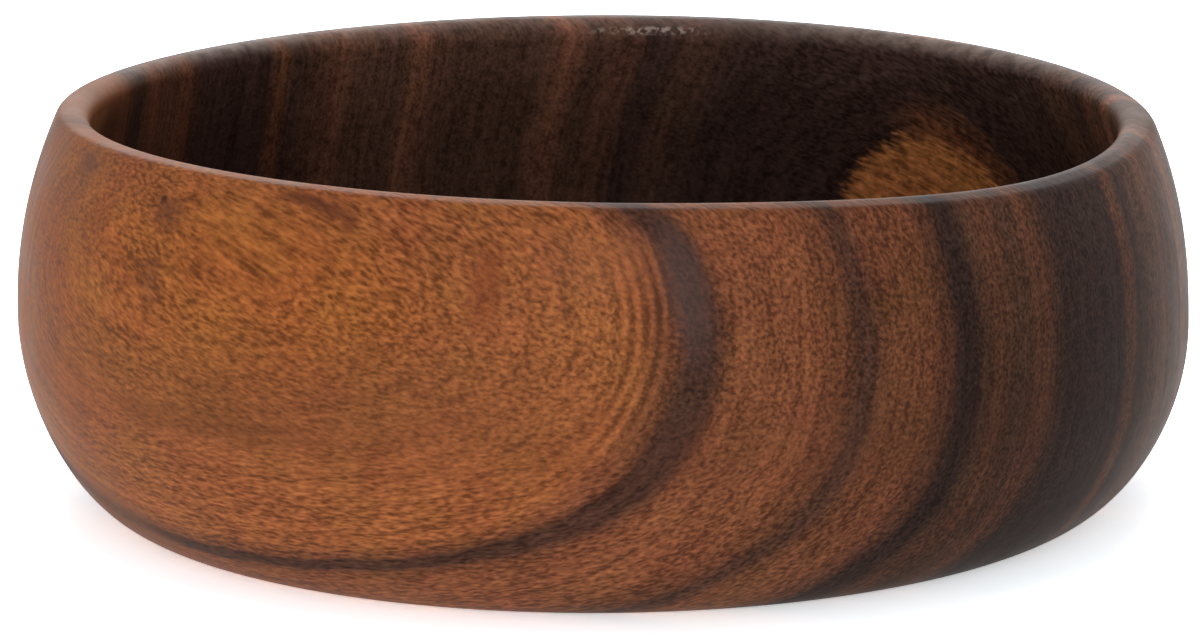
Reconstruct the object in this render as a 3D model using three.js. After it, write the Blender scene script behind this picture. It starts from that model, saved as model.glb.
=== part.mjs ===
// Turned wooden bowl: one block of wood, hollowed out, whose wall swells to a belly and closes in
// again to a rounded lip.
// Millimetres, +Z up. The origin is the centre of the foot, on the surface that the bowl stands on.

import * as THREE from 'three';

// Outside of the wall
const BELLY_DIAMETER = 305; // across the widest point
const BELLY_HEIGHT = 48; // of the widest point above the table
const RIM_RISE = 54; // from the widest point up to the top of the lip
const BELLY_TURN = 24; // how far the wall bends below its widest point before it runs in to the foot

// Lip, a half round that both faces of the wall run into
const LIP_INSET = 10; // of the lip's outer face from the widest point
const LIP_THICKNESS = 8.4;
const LIP_LEAN = THREE.MathUtils.degToRad( 23 ); // inward lean of the wall where it meets the lip

// Foot, a flat ring with the underside turned a little hollow so that the bowl cannot rock
const FOOT_INSET = 27.5; // of the foot's edge from the widest point
const FOOT_TURN = 12; // how gently the wall lifts off the table
const FOOT_RING_WIDTH = 22;
const FOOT_HOLLOW = 1.5;

// Inside
const WALL_THICKNESS = 9; // at the widest point
const FLOOR_THICKNESS = 11; // over the foot ring
const FLOOR_INSET = 21; // of the flat floor's edge from the foot's edge
const FLOOR_TURN = 28; // how gently the floor sweeps up into the wall
const INSIDE_TURN = 22; // how far the inside bends below its widest point

// Fineness of the facets
const STEPS_AROUND = 64;
const STEPS_BELOW_BELLY = 9;
const STEPS_ABOVE_BELLY = 6;
const STEPS_OVER_LIP = 10;
const STEPS_UNDER_FOOT = 3;

// Share of a wall's length above the belly that each end's tangent reaches along it, as on a round arc
const ARC_REACH = 0.35;

const bellyRadius = BELLY_DIAMETER / 2;
const height = BELLY_HEIGHT + RIM_RISE;

const lipRadius = LIP_THICKNESS / 2;
const lipCentre = new THREE.Vector2( bellyRadius - LIP_INSET - lipRadius, height - lipRadius );

const belly = new THREE.Vector2( bellyRadius, BELLY_HEIGHT );
const insideBelly = new THREE.Vector2( bellyRadius - WALL_THICKNESS, BELLY_HEIGHT );

const footEdge = new THREE.Vector2( bellyRadius - FOOT_INSET, 0 );
const hollowEdge = new THREE.Vector2( footEdge.x - FOOT_RING_WIDTH, 0 );
const floorEdge = new THREE.Vector2( footEdge.x - FLOOR_INSET, FLOOR_THICKNESS );

// Profile points hold the radius in x and the height in y.
function moved( point, radius, rise ) {

	return new THREE.Vector2( point.x + radius, point.y + rise );

}

// From the level surface at `edge` up to the widest point of the same face, which stands upright.
function wallBelowBelly( edge, edgeTurn, widest, widestTurn ) {

	return new THREE.CubicBezierCurve( edge, moved( edge, edgeTurn, 0 ), moved( widest, 0, - widestTurn ), widest );

}

// From the widest point of a face, which stands upright, up to where it meets the leaning lip.
function wallAboveBelly( widest, lipEnd ) {

	const reach = ARC_REACH * widest.distanceTo( lipEnd );
	const underLip = moved( lipEnd, reach * Math.sin( LIP_LEAN ), - reach * Math.cos( LIP_LEAN ) );
	return new THREE.CubicBezierCurve( widest, moved( widest, 0, reach ), underLip, lipEnd );

}

// The half round over the lip, from the outer face to the inner one.
function lipRoll() {

	return new THREE.EllipseCurve( lipCentre.x, lipCentre.y, lipRadius, lipRadius, LIP_LEAN, LIP_LEAN + Math.PI );

}

// The shallow dish in the underside, from the axis out to the foot ring.
function footHollow() {

	const centre = new THREE.Vector2( 0, FOOT_HOLLOW );
	return new THREE.QuadraticBezierCurve( centre, new THREE.Vector2( hollowEdge.x / 2, FOOT_HOLLOW ), hollowEdge );

}

// Outline of the section: out along the underside, up the outside, over the lip and down the inside.
function sectionOutline() {

	const lip = lipRoll();
	const outside = [
		...wallBelowBelly( footEdge, FOOT_TURN, belly, BELLY_TURN ).getPoints( STEPS_BELOW_BELLY ),
		...wallAboveBelly( belly, lip.getPoint( 0 ) ).getPoints( STEPS_ABOVE_BELLY ).slice( 1 ),
	];
	const inside = [
		...wallBelowBelly( floorEdge, FLOOR_TURN, insideBelly, INSIDE_TURN ).getPoints( STEPS_BELOW_BELLY ),
		...wallAboveBelly( insideBelly, lip.getPoint( 1 ) ).getPoints( STEPS_ABOVE_BELLY ).slice( 1 ),
	];
	return [
		...footHollow().getPoints( STEPS_UNDER_FOOT ),
		...outside,
		...lip.getPoints( STEPS_OVER_LIP ).slice( 1 ),
		...inside.reverse().slice( 1 ),
		new THREE.Vector2( 0, FLOOR_THICKNESS ),
	];

}

// Oiled, satin brown wood.
const wood = new THREE.MeshStandardMaterial( { color: 0x7a4826, roughness: 0.5, metalness: 0 } );

const bowlBody = new THREE.Mesh( new THREE.LatheGeometry( sectionOutline(), STEPS_AROUND ), wood );
bowlBody.name = 'bowl_body';
bowlBody.rotation.x = Math.PI / 2; // the lathe turns about Y, the bowl stands along Z

const bowl = new THREE.Group();
bowl.add( bowlBody );

export default bowl;
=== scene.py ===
"""A turned wooden bowl on a white floor. The wood is one solid texture, cut by the bowl's surface."""

import math
from collections import namedtuple

import bpy
from mathutils import Matrix, Vector


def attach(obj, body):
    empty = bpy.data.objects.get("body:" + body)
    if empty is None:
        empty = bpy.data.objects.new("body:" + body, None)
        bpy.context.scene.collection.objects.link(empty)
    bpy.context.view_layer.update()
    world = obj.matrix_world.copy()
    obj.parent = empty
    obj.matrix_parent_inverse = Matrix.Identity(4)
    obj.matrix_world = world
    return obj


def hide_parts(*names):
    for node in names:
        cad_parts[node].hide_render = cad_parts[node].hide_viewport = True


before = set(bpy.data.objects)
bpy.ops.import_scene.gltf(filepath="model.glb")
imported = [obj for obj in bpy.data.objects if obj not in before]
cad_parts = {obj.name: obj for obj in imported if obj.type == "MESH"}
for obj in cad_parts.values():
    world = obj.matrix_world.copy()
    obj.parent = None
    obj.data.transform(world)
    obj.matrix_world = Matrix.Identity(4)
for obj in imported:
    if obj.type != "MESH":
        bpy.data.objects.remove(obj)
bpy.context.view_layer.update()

MM = 0.001

# Turned section, in millimetres: radius and height
BELLY_RADIUS = 152.5
BELLY_HEIGHT = 48.0
BELLY_TURN = 24.0
HEIGHT = 102.0
LIP_CREST_INSET = 14.3  # of the lip's highest line from the widest point
LIP_FLAT = 2.2  # width of the lip's top
LIP_OUTER_ROUND = 2.2
LIP_INNER_ROUND = 4.2
LIP_SLOPE = math.radians(10)  # of the lip's top, down to the outside
LIP_LEAN = math.radians(23)  # of the wall's outside where it meets the lip
LIP_INNER_LEAN = math.radians(14)
FOOT_RADIUS = 125.0
FOOT_TURN = 12.0
HOLLOW_RADIUS = 103.0
HOLLOW_DEPTH = 1.5
WALL_THICKNESS = 9.0
FLOOR_RADIUS = 104.0
FLOOR_THICKNESS = 11.0
FLOOR_TURN = 28.0
INSIDE_TURN = 22.0
ARC_REACH = 0.35

# How the dried, hand-sanded bowl strays from a true turning
CREST_OVALNESS = 1.0  # the lip's highest line is nearer to the axis on the left and the right
CREST_SHIFT = 0.5  # and more so on the left
SIDE_ROUNDING = 1.9  # the lip's outer edge is softer on the left and the right
ROUNDING_CHANGE = 0.9  # and more so on the right
SIDE_FLAT = -0.6  # the lip's top is narrower on the left and the right
SLOPE_CHANGE = math.radians(7)  # the lip's top slopes more on the right and less on the left
BACK_ROUNDING = 1.2  # the lip's inner edge is softer at the back
BACK_SLOPE = math.radians(12)  # and its top leans in there
WALL_UNEVENNESS = 0.17  # share of the thickness, thicker on the left and thinner on the right
RIM_DROP = 2.1  # on the right; the left side rises as much
RIM_TWIST = 1.63
RIM_BOW = 0.64
RIM_SAG = 2.1  # at the front right
SAG_PEAK = 0.114  # the greatest value of the sag's shape on the rim
BELLY_DROP = 2.09

# Fineness of the mesh
STEPS_AROUND = 256
STEPS_UNDER_FOOT = 14
STEPS_ON_FOOT_RING = 4
STEPS_BELOW_BELLY = 26
STEPS_ABOVE_BELLY = 22
STEPS_ON_OUTER_ROUND = 7
STEPS_ON_INNER_ROUND = 16
STEPS_ON_FLOOR = 14

# Camera, in metres and radians, on a sensor that is SENSOR_WIDTH millimetres wide
CAMERA_PLACE = Vector((-0.00088, -1.29625, 0.3307))
CAMERA_PITCH = math.radians(12.459)
CAMERA_ROLL = -0.0067
CAMERA_LENS = 151.88
SENSOR_WIDTH = 36.0

# Floor and light, in metres
WHITE = (1, 1, 1, 1)
FLOOR_HALF_WIDTH = 4.0
FLOOR_LEVEL = -0.0002  # just under the foot
FLOOR_SEEN = (1.78, 1.92, 2.04, 1)  # a little cool, because the wood throws warm light on it
FLOOR_MIRRORED = (0.8, 0.8, 0.8, 1)
FLOOR_LIGHTING = (0.6, 0.6, 0.6, 1)
GLOW_SHOWN = 0.42
GLOW_LIGHTING = 0.8
WORLD_SHOWN = 1.0
WORLD_LIGHTING = 0.45
SOFTBOXES = [  # name, place, aim, width, height, watts
    ("top_softbox", (0, 0.2, 1.3), (0, 0.2, 0), 0.9, 0.9, 5.2),
    ("front_softbox", (0, -1.5, 0.45), (0, 0, 0.06), 1.4, 0.6, 5.6),
    ("back_softbox", (0, 1.1, 0.9), (0, 0, 0.1), 1.3, 1.3, 8.5),
]

# Wood colours, as sRGB out of 255
PALETTE = {
    "pale": (148, 87, 50),
    "tan": (138, 82, 51),
    "rust": (112, 67, 46),
    "umber": (93, 56, 39),
    "ring": (67, 43, 34),
    "brown": (74, 46, 34),
    "dark": (64, 42, 32),
    "ebony": (50, 34, 29),
    "coal": (45, 31, 27),
    "gold": (162, 95, 36),
    "halo": (98, 56, 29),
}

# Growth bands: distance from the trunk's heart in millimetres, and colour
INNER_BANDS = [
    (0, "pale"),
    (16, "pale"),
    (28, "tan"),
    (36, "tan"),
    (46, "tan"),
    (50.5, "rust"),
    (54, "ring"),
    (57, "ring"),
    (61, "rust"),
    (74, "rust"),
    (80, "umber"),
    (85.5, "ring"),
    (91, "umber"),
    (99, "umber"),
    (104, "brown"),
    (108.5, "coal"),
    (111.5, "coal"),
    (116, "dark"),
    (119, "brown"),
    (127, "dark"),
    (134, "brown"),
    (143, "coal"),
]
OUTER_BANDS = [
    (143, "coal"),
    (167, "coal"),
    (172.5, "brown"),
    (177.5, "ebony"),
    (188, "dark"),
    (194, "brown"),
    (199, "dark"),
    (204, "dark"),
    (208, "ring"),
    (211, "dark"),
    (216, "umber"),
    (221, "brown"),
    (227, "dark"),
    (248, "dark"),
    (254, "umber"),
    (259, "dark"),
    (265, "brown"),
    (271, "ebony"),
    (277, "dark"),
    (284, "ebony"),
    (320, "ebony"),
]
BAND_CHANGE = 143.0
BAND_END = 320.0

# Place of the trunk's heart, in millimetres and radians
GRAIN_TURN = math.radians(39.28)  # from the bowl's x axis to the trunk's length, seen from above
HEART_OFFSET = 160.3
HEART_HEIGHT = 87.0
HEART_BEND = -0.000489  # sideways, per square millimetre along the trunk
HEART_RISE = 0.053
RING_FLATNESS = 0.651  # the growth rings are ovals, wider up and down

# Each change below is two places, mostly in millimetres in the trunk, and then the values at them.
RISE = (0.0, 1.0)
FALL = (1.0, 0.0)

# Wavering of the growth rings, in millimetres: size of its lumps, and amount
RING_WAVERS = [(30.0, 1.6), (6.0, 0.6)]

# Moves of the growth rings: an amount in millimetres by height, times a share by distance from the heart
RING_MOVES = [
    ((-82, -58), (3.8, 0.0), (54, 57), RISE),  # low down, the first dark ring ends sooner
    ((-62, -42), (-2.5, 0.0), (51, 54), FALL),  # and starts later
    ((-22, 12), (0.0, 2.0), (90, 104), FALL),  # high up, the inner rings are nearer to the heart
    ((3, 16), (0.0, 2.2), (66, 80), FALL),  # and the first one most of all
]

# Sizes of the wood's fine marks along the trunk, out from its heart and up, in millimetres
FLECK = (2.8, 0.75, 0.92)
LONG_STREAK = (26.0, 1.6, 1.5)
RING_LINE = (40.0, 1.3, 30.0)
MOTTLE_SIZE = 12.0
SPECKLE_SIZE = 2.4

# Fibres slope high on the wall and are level low on it.
FIBRE_TILT = math.radians(20)
FIBRE_CHANGE = (-60, -25)

# Strength of the fine marks, and how it changes in combed wood and in the ripples
FLECK_BY_DISTANCE = ((45, 120), (1.2, 1.3))
FLECK_BY_LENGTH = ((-60, -20), (0.6, 1.0))
FLECK_IN_COMBED = -0.45
FLECK_IN_RIPPLES = -1.2
STREAK_STRENGTH = 0.15
STREAK_IN_COMBED = 0.75
LINE_BY_DISTANCE = ((28, 48), (0.3, 0.55))
SPECKLE_BY_DISTANCE = ((110, 170), (0.1, 0.7))
MOTTLE_STRENGTH = 0.25
DARKEST_MARK = 0.5

# Fine lines inside the first dark ring
RIPPLE_START = 47.6
RIPPLE_SPACING = 1.9
RIPPLE_AMOUNT = 0.32
RIPPLE_NEAREST = (41, 46)
RIPPLE_FARTHEST = (50, 53)
RIPPLE_LOWEST = (-50, -25)
RIPPLE_HIGHEST = (2, 10)

# Smoother wood with long straight fibre lines: place and size in the trunk
COMBED_PATCH = ((8.0, 14.5, 4.0), (36.0, 30.0, 19.0))

# Tones: how much lighter the wood is, or darker below zero
# Painted light: the rust-brown bands lighter near the foot and near the lip
RUST_PAINTED_LIGHT_BY_HEIGHT = [((-80, -50), (0.14, 0.0)), ((-10, 10), (0.0, 0.24))]
RUST_START = (58, 62)
RUST_END = (98, 108)
# Painted light and shade: the dark bands lighter high on the wall and darker lower down
DARK_PAINTED_LIGHT_AND_SHADE_BY_HEIGHT = [((-14, 8), (0.0, 0.36)), ((-36, -8), (-0.18, 0.0))]
DARK_START = (95, 120)
# Painted light: lighter towards the trunk's near end, on the left and back-left of the hollow
NEAR_END_PAINTED_LIGHT_BY_LENGTH = ((-125, -90), (0.45, 0.0))
NEAR_END_START = (68, 85)
NEAR_END_END = (190, 215)
# Painted light: the bands far from the heart, which lie mostly in the hollow, made lighter
FAR_PAINTED_LIGHT = ((170, 215), (1.0, 1.42))
FAR_SATURATION = ((170, 215), (1.03, 0.92))
FLECK_HUE = ((0.4, 0.7), (0.5, 0.503))  # by the fleck's own value
HUE_LUMP_SIZE = 18.0
HUE_LUMP_AMOUNT = 0.01

# The paler wood that the far side of the hollow just reaches, by distance from the heart
HALO_START = (296.0, 299.8)
HALO_ALONG = (-12, 6)
GOLD_START = (299.8, 301.7)
GOLD_TURN = 0.03  # how much sooner it starts for each millimetre along the trunk
GOLD_CURVE = -0.0012
GOLD_WAVER = 1.8
# Painted shade: the pale wood darker on the bowl's outside, which the lamps light more than the hollow
GOLD_OUTSIDE_PAINTED_SHADE = -0.6  # on the bowl's outside

# The middle of the wall: its radius at the belly, and how fast it nears the axis above and below that
WALL_MIDDLE = (145.5, 148.5)
WALL_CURVE = 0.0065

# Painted sheen on the back of the lip's top, and a scuff on its inner edge, in the bowl's own frame in
# millimetres
PAINTED_SHEEN_COLOUR = (178, 158, 148)
PAINTED_SHEEN_HEIGHT = (97.8, 101.6)
PAINTED_SHEEN_BACK = (20.0, 90.0)
PAINTED_SHEEN_SIDES = ((20.0, 105.0), (0.3, 1.2))
PAINTED_SHEEN_PATCH_SIZE = 5.0
PAINTED_SHEEN_PATCHES = ((0.3, 0.7), (0.12, 0.34))
SCUFF_COLOUR = (205, 188, 176)
SCUFF = ((15.0, 133.0, 99.2), (25.0, 9.0, 1.6))
SCUFF_GRAIN_SIZE = 1.6
SCUFF_GRAIN = ((0.46, 0.64), (0.0, 0.5))

# Marks in the wood: place and size along the trunk, out from its heart and above it, colour, strength
SPOTS = [
    ((-19.9, 16.5, 9.3), (2.0, 3.0, 1.6), (44, 24, 20), 0.95),
    ((-17.0, 15.5, 6.5), (10.0, 8.0, 6.0), (92, 54, 40), 0.55),
    ((-20.0, 11.0, -9.0), (6.0, 6.0, 10.0), (98, 60, 46), 0.35),
    ((22.0, 19.0, 14.5), (8.0, 6.0, 2.2), (88, 48, 32), 0.7),
    ((27.5, 19.6, 13.6), (8.0, 6.0, 2.4), (88, 48, 32), 0.6),
    ((33.0, 20.2, 12.3), (7.0, 6.0, 2.4), (88, 48, 32), 0.7),
    ((37.4, 20.5, 9.6), (4.0, 6.0, 4.5), (92, 48, 30), 0.5),
    ((71.0, 31.0, -5.0), (6.0, 10.0, 18.0), (122, 58, 36), 0.5),
    ((0.0, 9.0, -42.0), (60.0, 16.0, 5.0), (100, 56, 34), 0.35),
    ((-56.0, 30.0, 12.0), (9.0, 9.0, 4.0), (92, 60, 50), 0.5),
    ((108.0, 58.5, -2.0), (16.0, 5.5, 28.0), (98, 78, 75), 0.34),
    ((92.0, 46.0, 3.0), (24.0, 16.0, 12.0), (160, 102, 68), 0.2),
    ((-108.0, 72.0, 15.0), (60.0, 60.0, 24.0), (140, 90, 60), 0.7),
    ((-120.5, 101.0, 2.0), (10.0, 20.0, 13.0), (48, 32, 26), 0.65),
    ((35.0, 14.0, -30.0), (105.0, 60.0, 20.0), (112, 67, 42), 0.28),
    ((-50.0, 31.0, -77.0), (36.0, 24.0, 15.0), (114, 72, 47), 0.6),
]
SPOT_EDGE = (0.25, 1.0)  # share of the size where a mark starts to fade, and where it ends

# Finish of the oiled wood
ROUGHNESS = 0.40
ROUGHNESS_BY_FLECK = 0.12
ROUGHNESS_BY_MOTTLE = 0.10
SPECULAR_LEVEL = 0.04
BUMP_STRENGTH = 0.25
BUMP_DEPTH = 0.0002


def linear(colour):
    """A colour out of 255 as Blender's linear RGBA."""
    rgba = []
    for value in colour:
        share = value / 255
        rgba.append(share / 12.92 if share <= 0.04045 else ((share + 0.055) / 1.055) ** 2.4)
    return rgba + [1.0]


def bezier(controls, steps):
    """Points along a Bezier curve, without its first."""
    points = []
    for step in range(1, steps + 1):
        left = controls
        while len(left) > 1:
            left = [a.lerp(b, step / steps) for a, b in zip(left, left[1:])]
        points.append(left[0])
    return points


def wall_below_belly(edge, edge_turn, widest, widest_turn):
    """Curve from a level surface up to the widest point of the same face."""
    return [edge, edge + Vector((edge_turn, 0)), widest - Vector((0, widest_turn)), widest]


def wall_above_belly(widest, lip_end, lean):
    """Curve from the widest point of a face up to where it meets the leaning lip."""
    reach = ARC_REACH * (lip_end - widest).length
    under_lip = lip_end + reach * Vector((math.sin(lean), -math.cos(lean)))
    return [widest, widest + Vector((0, reach)), under_lip, lip_end]


def heading(angle):
    return Vector((math.cos(angle), math.sin(angle)))


def arc(centre, radius, start, end, steps):
    angles = [start + (end - start) * step / steps for step in range(steps + 1)]
    return [centre + radius * heading(angle) for angle in angles]


def lip_outline(leftness, backness):
    """The lip from its outer face to its inner one: a tight round, a sloping top and a full round."""
    sideways = leftness ** 2
    crest = BELLY_RADIUS - LIP_CREST_INSET - CREST_OVALNESS * sideways - CREST_SHIFT * leftness
    outer_round = LIP_OUTER_ROUND + SIDE_ROUNDING * sideways - ROUNDING_CHANGE * leftness
    inner_round = LIP_INNER_ROUND + BACK_ROUNDING * backness
    flat = LIP_FLAT + SIDE_FLAT * sideways
    slope = LIP_SLOPE - SLOPE_CHANGE * leftness - BACK_SLOPE * backness
    upright = math.pi / 2 - slope
    inner_centre = Vector((crest, HEIGHT - inner_round))
    flat_inside = inner_centre + inner_round * heading(upright)
    flat_outside = flat_inside + flat * heading(-slope)
    outer_centre = flat_outside - outer_round * heading(upright)
    outer = arc(outer_centre, outer_round, LIP_LEAN, upright, STEPS_ON_OUTER_ROUND)
    inner = arc(inner_centre, inner_round, upright, math.pi + LIP_INNER_LEAN, STEPS_ON_INNER_ROUND)
    return outer + inner


def section(leftness, backness):
    """Outline of the wall, from the axis along the underside, up, over the lip and back to the axis."""
    lip = lip_outline(leftness, backness)
    wall_thickness = WALL_THICKNESS * (1 + WALL_UNEVENNESS * leftness)
    hollow_centre = Vector((0, HOLLOW_DEPTH))
    hollow_middle = Vector((HOLLOW_RADIUS / 2, HOLLOW_DEPTH))
    hollow_edge = Vector((HOLLOW_RADIUS, 0))
    foot_edge = Vector((FOOT_RADIUS, 0))
    belly = Vector((BELLY_RADIUS, BELLY_HEIGHT))
    inside_belly = Vector((BELLY_RADIUS - wall_thickness, BELLY_HEIGHT))
    floor_edge = Vector((FLOOR_RADIUS, FLOOR_THICKNESS))
    floor_centre = Vector((0, FLOOR_THICKNESS))

    low_outside = wall_below_belly(foot_edge, FOOT_TURN, belly, BELLY_TURN)
    high_outside = wall_above_belly(belly, lip[0], LIP_LEAN)
    high_inside = wall_above_belly(inside_belly, lip[-1], LIP_INNER_LEAN)
    low_inside = wall_below_belly(floor_edge, FLOOR_TURN, inside_belly, INSIDE_TURN)

    outline = [hollow_centre]
    outline += bezier([hollow_centre, hollow_middle, hollow_edge], STEPS_UNDER_FOOT)
    outline += bezier([hollow_edge, foot_edge], STEPS_ON_FOOT_RING)
    outline += bezier(low_outside, STEPS_BELOW_BELLY)
    outline += bezier(high_outside, STEPS_ABOVE_BELLY)
    outline += lip[1:]
    outline += bezier(high_inside[::-1], STEPS_ABOVE_BELLY)
    outline += bezier(low_inside[::-1], STEPS_BELOW_BELLY)
    outline += bezier([floor_edge, floor_centre], STEPS_ON_FLOOR)
    return outline


def dried(x, y, z):
    """Where a point of the true turning lies since the wood has dried and moved, in metres."""
    across = x / BELLY_RADIUS
    along = y / BELLY_RADIUS
    rise = z / HEIGHT
    rim = -RIM_DROP * across + RIM_TWIST * across * along - RIM_BOW * (across ** 2 - along ** 2)
    rim -= RIM_SAG * max(0, across) ** 3 * max(0, -along) ** 2 / SAG_PEAK
    belly = -BELLY_DROP * across
    lift = rim * rise ** 2 + belly * 4 * rise * (1 - rise)
    return Vector((x, y, z + lift)) * MM


def bowl_mesh():
    """The bowl as one closed mesh: a section for each step around, and a point on the axis at both ends."""
    points = []
    for step in range(STEPS_AROUND):
        angle = 2 * math.pi * step / STEPS_AROUND
        outline = section(leftness=-math.cos(angle), backness=max(0, math.sin(angle)) ** 2)
        points += [dried(r * math.cos(angle), r * math.sin(angle), z) for r, z in outline[1:-1]]
    underside = len(points)
    floor = underside + 1
    points.append(dried(0, 0, HOLLOW_DEPTH))
    points.append(dried(0, 0, FLOOR_THICKNESS))

    row = underside // STEPS_AROUND
    faces = []
    for step in range(STEPS_AROUND):
        here = step * row
        beside = (step + 1) % STEPS_AROUND * row
        faces.append((underside, beside, here))
        faces += [(here + k, beside + k, beside + k + 1, here + k + 1) for k in range(row - 1)]
        faces.append((here + row - 1, beside + row - 1, floor))
    mesh = bpy.data.meshes.new("bowl")
    mesh.from_pydata(points, [], faces)
    mesh.polygons.foreach_set("use_smooth", [True] * len(mesh.polygons))
    mesh.update()
    return mesh


class Nodes:
    """Short calls that make and link shader nodes."""

    def __init__(self, tree):
        self.tree = tree
        tree.nodes.clear()

    def feed(self, socket, value):
        if isinstance(value, bpy.types.NodeSocket):
            self.tree.links.new(value, socket)
        else:
            socket.default_value = value

    def add(self, kind, inputs, **settings):
        node = self.tree.nodes.new(kind)
        for name, value in settings.items():
            setattr(node, name, value)
        for name, value in inputs.items():
            self.feed(node.inputs[name], value)
        return node

    def math(self, operation, *values):
        return self.add("ShaderNodeMath", dict(enumerate(values)), operation=operation).outputs[0]

    def vector_math(self, operation, *values):
        return self.add("ShaderNodeVectorMath", dict(enumerate(values)), operation=operation).outputs

    def total(self, first, *others):
        for other in others:
            first = self.math("ADD", first, other)
        return first

    def product(self, first, *others):
        for other in others:
            first = self.math("MULTIPLY", first, other)
        return first

    def hypotenuse(self, first, second):
        squares = self.total(self.product(first, first), self.product(second, second))
        return self.math("SQRT", squares)

    def noise(self, place, size, detail=2.0):
        """Noise from 0 to 1 whose lumps are about `size` across."""
        inputs = {"Vector": place, "Scale": 1 / size, "Detail": detail}
        return self.add("ShaderNodeTexNoise", inputs).outputs[0]

    def streaks(self, coordinates, sizes):
        """Noise whose lumps have other sizes along each coordinate."""
        shares = [self.math("DIVIDE", value, size) for value, size in zip(coordinates, sizes)]
        place = self.add("ShaderNodeCombineXYZ", dict(enumerate(shares))).outputs[0]
        return self.noise(place, 1.0, detail=1.0)

    def swing(self, value, amount):
        """Moves a value that runs from 0 to 1 to one that runs from -amount to +amount."""
        return self.math("MULTIPLY_ADD", value, 2 * amount, -amount)

    def between(self, value, span, ends=RISE):
        """Moves smoothly from one end to the other while value goes through the span."""
        low, high = span
        start, end = ends
        inputs = {"Value": value, "From Min": low, "From Max": high, "To Min": start, "To Max": end}
        return self.add("ShaderNodeMapRange", inputs, interpolation_type="SMOOTHSTEP").outputs[0]

    def mix(self, factor, first, second):
        node = self.add("ShaderNodeMix", {}, data_type="RGBA")
        self.feed(node.inputs["Factor"], factor)
        colours = [socket for socket in node.inputs if socket.type == "RGBA"]
        self.feed(colours[0], first)
        self.feed(colours[1], second)
        return next(socket for socket in node.outputs if socket.type == "RGBA")

    def bands(self, distance, bands, start, end):
        """Colour of the growth bands between two distances from the heart."""
        share = self.math("DIVIDE", self.math("SUBTRACT", distance, start), end - start)
        node = self.add("ShaderNodeValToRGB", {"Fac": share})
        ramp = node.color_ramp
        ramp.interpolation = "EASE"
        for place, colour in bands:
            position = (place - start) / (end - start)
            if position <= 0:
                stop = ramp.elements[0]
            elif position >= 1:
                stop = ramp.elements[len(ramp.elements) - 1]
            else:
                stop = ramp.elements.new(position)
            stop.color = linear(PALETTE[colour])
        return node.outputs["Color"]


# A point's place in the trunk, in millimetres: along it, out from its heart and above its heart, and its
# distance from the heart on true rings and on wavering ones
Wood = namedtuple("Wood", "place along out above true_distance distance")


def object_place(nodes):
    return nodes.add("ShaderNodeTexCoord", {}).outputs["Object"]


def heart_distance(nodes, along, out, above):
    """Distance from the trunk's heart, on growth rings that are ovals."""
    sideways = nodes.total(out, nodes.product(along, along, HEART_BEND))
    level = nodes.math("MULTIPLY_ADD", along, -HEART_RISE, above)
    upright = nodes.product(level, RING_FLATNESS)
    return nodes.hypotenuse(sideways, upright)


def wood_place(nodes):
    turned = nodes.add(
        "ShaderNodeMapping",
        {
            "Vector": object_place(nodes),
            "Location": (0, HEART_OFFSET, -HEART_HEIGHT),
            "Rotation": (0, 0, GRAIN_TURN),
            "Scale": (1 / MM,) * 3,
        },
    ).outputs[0]
    along, out, above = nodes.add("ShaderNodeSeparateXYZ", {0: turned}).outputs
    true_distance = heart_distance(nodes, along, out, above)
    wavers = [nodes.swing(nodes.noise(turned, size), amount) for size, amount in RING_WAVERS]
    return Wood(turned, along, out, above, true_distance, nodes.total(true_distance, *wavers))


def spot(nodes, place, centre, radii):
    """1 in the middle of an oval spot, 0 outside it."""
    offset = nodes.vector_math("SUBTRACT", place, centre)[0]
    scaled = nodes.vector_math("DIVIDE", offset, radii)[0]
    length = nodes.vector_math("LENGTH", scaled)["Value"]
    return nodes.between(length, SPOT_EDGE, FALL)


def outside(nodes, wood):
    """1 on the wall's outside and 0 on its inside."""
    across = nodes.math("SUBTRACT", wood.out, HEART_OFFSET)
    radius = nodes.hypotenuse(wood.along, across)
    level = nodes.math("ADD", wood.above, HEART_HEIGHT - BELLY_HEIGHT)
    nearer = nodes.product(level, level, WALL_CURVE)
    return nodes.between(nodes.total(radius, nearer), WALL_MIDDLE)


def band_colour(nodes, wood):
    """Colour of the growth bands, with the rings' moves."""
    moved = wood.distance
    for heights, amounts, distances, shares in RING_MOVES:
        amount = nodes.between(wood.above, heights, amounts)
        share = nodes.between(wood.distance, distances, shares)
        moved = nodes.total(moved, nodes.product(amount, share))
    inner = nodes.bands(moved, INNER_BANDS, 0, BAND_CHANGE)
    outer = nodes.bands(wood.distance, OUTER_BANDS, BAND_CHANGE, BAND_END)
    return nodes.mix(nodes.math("GREATER_THAN", wood.distance, BAND_CHANGE), inner, outer)


def fibre_marks(nodes, wood):
    """Short flecks and long streaks, each from 0 to 1."""
    cosine = math.cos(FIBRE_TILT)
    sine = math.sin(FIBRE_TILT)
    tilted_along = nodes.math("MULTIPLY_ADD", wood.along, cosine, nodes.product(wood.above, -sine))
    tilted_above = nodes.math("MULTIPLY_ADD", wood.along, sine, nodes.product(wood.above, cosine))
    tilted = (tilted_along, wood.distance, tilted_above)
    level = (wood.along, wood.distance, wood.above)
    high = nodes.between(wood.above, FIBRE_CHANGE)
    low = nodes.math("SUBTRACT", 1.0, high)
    high_flecks = nodes.product(nodes.streaks(tilted, FLECK), high)
    low_flecks = nodes.product(nodes.streaks(level, FLECK), low)
    return nodes.total(high_flecks, low_flecks), nodes.streaks(tilted, LONG_STREAK)


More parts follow.
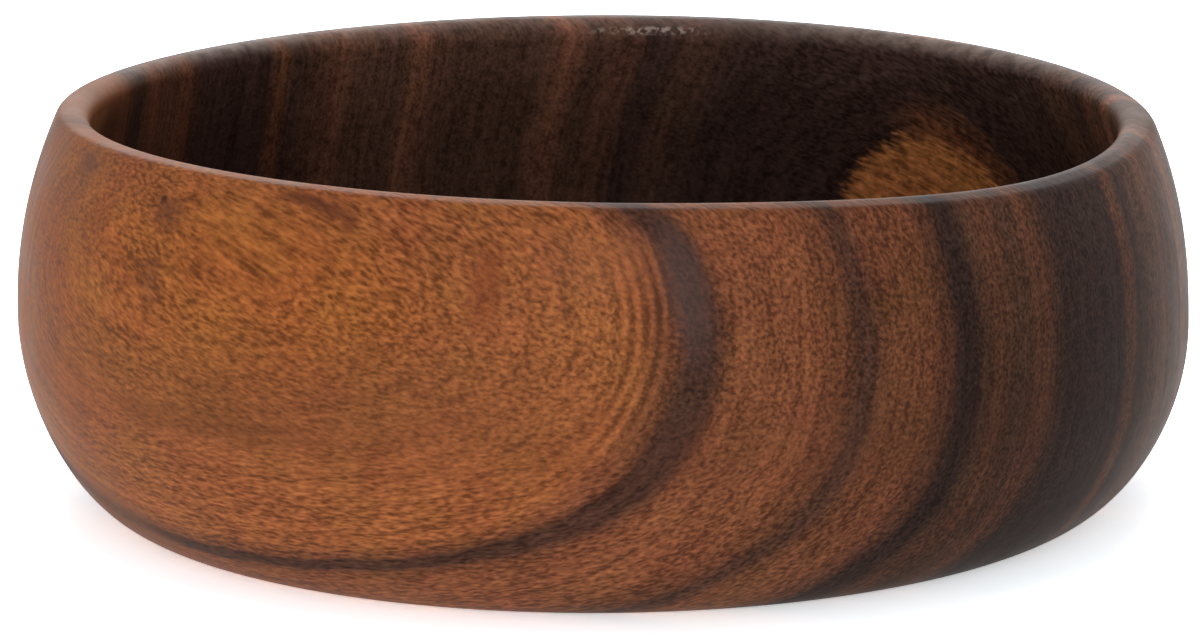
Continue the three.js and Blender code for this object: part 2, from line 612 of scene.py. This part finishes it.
def pale_shares(nodes, wood, long_streaks):
    """How far a point lies in the pale wood's halo and in the pale wood itself, each from 0 to 1."""
    turn = nodes.math("MULTIPLY_ADD", wood.along, GOLD_CURVE, GOLD_TURN)
    distance = nodes.math("MULTIPLY_ADD", wood.along, turn, wood.true_distance)
    distance = nodes.total(distance, nodes.swing(long_streaks, GOLD_WAVER))
    halo = nodes.product(nodes.between(distance, HALO_START), nodes.between(wood.along, HALO_ALONG))
    return halo, nodes.between(distance, GOLD_START)


def ripple_strength(nodes, wood):
    """Strength of the fine lines inside the first dark ring."""
    return nodes.product(
        nodes.between(wood.distance, RIPPLE_NEAREST),
        nodes.between(wood.distance, RIPPLE_FARTHEST, FALL),
        nodes.between(wood.above, RIPPLE_LOWEST),
        nodes.between(wood.above, RIPPLE_HIGHEST, FALL),
        RIPPLE_AMOUNT,
    )


def ripple_wave(nodes, wood):
    """A wave from -1 to 1 on the growth rings."""
    past_start = nodes.math("SUBTRACT", wood.true_distance, RIPPLE_START)
    return nodes.math("COSINE", nodes.product(past_start, 2 * math.pi / RIPPLE_SPACING))


def tones(nodes, wood):
    """Factors that make the wood lighter or darker by place: painted light and shade."""
    rust = nodes.product(
        nodes.total(*[nodes.between(wood.above, *change) for change in RUST_PAINTED_LIGHT_BY_HEIGHT]),
        nodes.between(wood.distance, RUST_START),
        nodes.between(wood.distance, RUST_END, FALL),
    )
    dark = nodes.product(
        nodes.total(*[nodes.between(wood.above, *change) for change in DARK_PAINTED_LIGHT_AND_SHADE_BY_HEIGHT]),
        nodes.between(wood.distance, DARK_START),
    )
    near_end_painted_light = nodes.product(
        nodes.between(wood.along, *NEAR_END_PAINTED_LIGHT_BY_LENGTH),
        nodes.between(wood.distance, NEAR_END_START),
        nodes.between(wood.distance, NEAR_END_END, FALL),
    )
    lighter = [nodes.total(tone, 1.0) for tone in (rust, dark, near_end_painted_light)]
    return lighter + [nodes.between(wood.distance, *FAR_PAINTED_LIGHT)]


def brightness(nodes, wood, flecks, long_streaks, mottle, gold):
    """Factor on the bands' colour: the fine marks, then the tones of painted light and shade, and the pale
    wood's painted shade on the bowl's outside.
    """
    combed = nodes.math("MAXIMUM", spot(nodes, wood.place, *COMBED_PATCH), gold)
    rippled = ripple_strength(nodes, wood)
    fleck_strength = nodes.product(
        nodes.between(wood.distance, *FLECK_BY_DISTANCE),
        nodes.between(wood.along, *FLECK_BY_LENGTH),
        nodes.math("MULTIPLY_ADD", combed, FLECK_IN_COMBED, 1.0),
        nodes.math("MULTIPLY_ADD", rippled, FLECK_IN_RIPPLES, 1.0),
    )
    streak_strength = nodes.math("MULTIPLY_ADD", combed, STREAK_IN_COMBED, STREAK_STRENGTH)
    line_strength = nodes.between(wood.distance, *LINE_BY_DISTANCE)
    speckle_strength = nodes.between(wood.distance, *SPECKLE_BY_DISTANCE)
    ring_lines = nodes.streaks((wood.along, wood.distance, wood.above), RING_LINE)
    speckles = nodes.noise(wood.place, SPECKLE_SIZE)
    marks = nodes.total(
        1.0,
        nodes.product(nodes.swing(flecks, 1.0), fleck_strength),
        nodes.product(nodes.swing(long_streaks, 1.0), streak_strength),
        nodes.product(nodes.swing(ring_lines, 1.0), line_strength),
        nodes.product(nodes.swing(speckles, 1.0), speckle_strength),
        nodes.swing(mottle, MOTTLE_STRENGTH),
        nodes.product(ripple_wave(nodes, wood), rippled),
    )
    marks = nodes.math("MAXIMUM", marks, DARKEST_MARK)
    # Painted shade: the pale wood darker on the bowl's outside than in the hollow
    outside_painted_shade = nodes.product(outside(nodes, wood), gold, GOLD_OUTSIDE_PAINTED_SHADE)
    return nodes.product(marks, *tones(nodes, wood), nodes.total(outside_painted_shade, 1.0))


def painted_sheen_and_scuff(nodes, colour):
    """The wood's colour with a painted sheen on the back of the lip's top, and a scuff on its inner edge."""
    place = nodes.vector_math("MULTIPLY", object_place(nodes), (1 / MM,) * 3)[0]
    x, y, z = nodes.add("ShaderNodeSeparateXYZ", {0: place}).outputs
    height = nodes.math("MULTIPLY_ADD", x, RIM_DROP / BELLY_RADIUS, z)
    # Painted sheen: pale grey on the back of the lip's top, stronger towards the sides, in patches
    painted_sheen = nodes.product(
        nodes.between(height, PAINTED_SHEEN_HEIGHT),
        nodes.between(y, PAINTED_SHEEN_BACK),
        nodes.between(nodes.math("ABSOLUTE", x), *PAINTED_SHEEN_SIDES),
        nodes.between(nodes.noise(place, PAINTED_SHEEN_PATCH_SIZE), *PAINTED_SHEEN_PATCHES),
    )
    colour = nodes.mix(painted_sheen, colour, linear(PAINTED_SHEEN_COLOUR))
    grain = nodes.between(nodes.noise(place, SCUFF_GRAIN_SIZE), *SCUFF_GRAIN)
    scuff = nodes.product(spot(nodes, place, *SCUFF), grain)
    return nodes.mix(scuff, colour, linear(SCUFF_COLOUR))


def wood_material():
    material = bpy.data.materials.new("wood")
    material.use_nodes = True
    nodes = Nodes(material.node_tree)
    wood = wood_place(nodes)
    flecks, long_streaks = fibre_marks(nodes, wood)
    mottle = nodes.noise(wood.place, MOTTLE_SIZE)
    halo, gold = pale_shares(nodes, wood, long_streaks)

    colour = band_colour(nodes, wood)
    colour = nodes.mix(halo, colour, linear(PALETTE["halo"]))
    colour = nodes.mix(gold, colour, linear(PALETTE["gold"]))
    hue_lumps = nodes.swing(nodes.noise(wood.place, HUE_LUMP_SIZE), HUE_LUMP_AMOUNT)
    colour = nodes.add(
        "ShaderNodeHueSaturation",
        {
            "Hue": nodes.total(nodes.between(flecks, *FLECK_HUE), hue_lumps),
            "Saturation": nodes.between(wood.distance, *FAR_SATURATION),
            "Value": brightness(nodes, wood, flecks, long_streaks, mottle, gold),
            "Color": colour,
        },
    ).outputs[0]
    for centre, radii, tint, strength in SPOTS:
        cover = nodes.product(spot(nodes, wood.place, centre, radii), strength)
        colour = nodes.mix(cover, colour, linear(tint))
    # Painted sheen on the back of the lip's top, and a scuff on its inner edge
    colour = painted_sheen_and_scuff(nodes, colour)

    roughness = nodes.total(
        ROUGHNESS,
        nodes.swing(flecks, ROUGHNESS_BY_FLECK),
        nodes.swing(mottle, ROUGHNESS_BY_MOTTLE),
    )
    bump = nodes.add("ShaderNodeBump", {"Strength": BUMP_STRENGTH, "Distance": BUMP_DEPTH, "Height": flecks})
    shader = nodes.add(
        "ShaderNodeBsdfPrincipled",
        {
            "Base Color": colour,
            "Roughness": roughness,
            "Specular IOR Level": SPECULAR_LEVEL,
            "Normal": bump.outputs[0],
        },
    )
    nodes.add("ShaderNodeOutputMaterial", {"Surface": shader.outputs[0]})
    return material


def camera_ray(nodes):
    """1 for rays straight from the camera."""
    return nodes.add("ShaderNodeLightPath", {}).outputs["Is Camera Ray"]


def shown_ray(nodes):
    """1 for rays from the camera and for those that it sees mirrored or through glass."""
    path = nodes.add("ShaderNodeLightPath", {}).outputs
    mirrored = nodes.math("MAXIMUM", path["Is Glossy Ray"], path["Is Transmission Ray"])
    return nodes.math("MAXIMUM", path["Is Camera Ray"], mirrored)


def floor_material():
    """White where the light is full; the bowl's soft shadow stays."""
    material = bpy.data.materials.new("floor")
    material.use_nodes = True
    nodes = Nodes(material.node_tree)
    shown = shown_ray(nodes)
    colour = nodes.mix(shown, FLOOR_LIGHTING, FLOOR_MIRRORED)
    colour = nodes.mix(camera_ray(nodes), colour, FLOOR_SEEN)
    strength = nodes.math("MULTIPLY_ADD", shown, GLOW_SHOWN - GLOW_LIGHTING, GLOW_LIGHTING)
    lit = nodes.add("ShaderNodeBsdfDiffuse", {"Color": colour})
    glow = nodes.add("ShaderNodeEmission", {"Color": WHITE, "Strength": strength})
    white = nodes.add("ShaderNodeAddShader", {0: lit.outputs[0], 1: glow.outputs[0]})
    nodes.add("ShaderNodeOutputMaterial", {"Surface": white.outputs[0]})
    return material


def make_floor():
    half = FLOOR_HALF_WIDTH
    sides = [(-half, -half), (half, -half), (half, half), (-half, half)]
    mesh = bpy.data.meshes.new("floor")
    mesh.from_pydata([(x, y, FLOOR_LEVEL) for x, y in sides], [], [(0, 1, 2, 3)])
    mesh.materials.append(floor_material())
    floor = bpy.data.objects.new("floor", mesh)
    bpy.context.scene.collection.objects.link(floor)


def make_world():
    """A white studio that lights the bowl less than it shows."""
    world = bpy.data.worlds.new("studio")
    world.use_nodes = True
    bpy.context.scene.world = world
    nodes = Nodes(world.node_tree)
    light = nodes.add("ShaderNodeBackground", {"Color": WHITE, "Strength": WORLD_LIGHTING})
    backdrop = nodes.add("ShaderNodeBackground", {"Color": WHITE, "Strength": WORLD_SHOWN})
    shaders = {0: shown_ray(nodes), 1: light.outputs[0], 2: backdrop.outputs[0]}
    studio = nodes.add("ShaderNodeMixShader", shaders)
    nodes.add("ShaderNodeOutputWorld", {"Surface": studio.outputs[0]})


def make_softbox(name, place, aim, width, height, power):
    lamp = bpy.data.lights.new(name, "AREA")
    lamp.shape = "RECTANGLE"
    lamp.size = width
    lamp.size_y = height
    lamp.energy = power
    softbox = bpy.data.objects.new(name, lamp)
    softbox.location = place
    softbox.rotation_euler = (Vector(aim) - Vector(place)).to_track_quat("-Z", "Y").to_euler()
    softbox.visible_camera = False
    bpy.context.scene.collection.objects.link(softbox)


def make_camera():
    camera = bpy.data.cameras.new("camera")
    camera.sensor_fit = "HORIZONTAL"
    camera.sensor_width = SENSOR_WIDTH
    camera.lens = CAMERA_LENS
    holder = bpy.data.objects.new("camera", camera)
    looking = Matrix.Rotation(math.pi / 2 - CAMERA_PITCH, 4, "X") @ Matrix.Rotation(CAMERA_ROLL, 4, "Z")
    holder.matrix_world = Matrix.Translation(CAMERA_PLACE) @ looking
    bpy.context.scene.collection.objects.link(holder)
    bpy.context.scene.camera = holder


def make_bowl():
    mesh = bowl_mesh()
    mesh.materials.append(wood_material())
    bowl = bpy.data.objects.new("bowl", mesh)
    bpy.context.scene.collection.objects.link(bowl)
    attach(bowl, "root")
    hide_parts("bowl_body")


make_camera()
make_world()
make_floor()
for softbox in SOFTBOXES:
    make_softbox(*softbox)
make_bowl()

bpy.context.scene.view_settings.view_transform = "Standard"
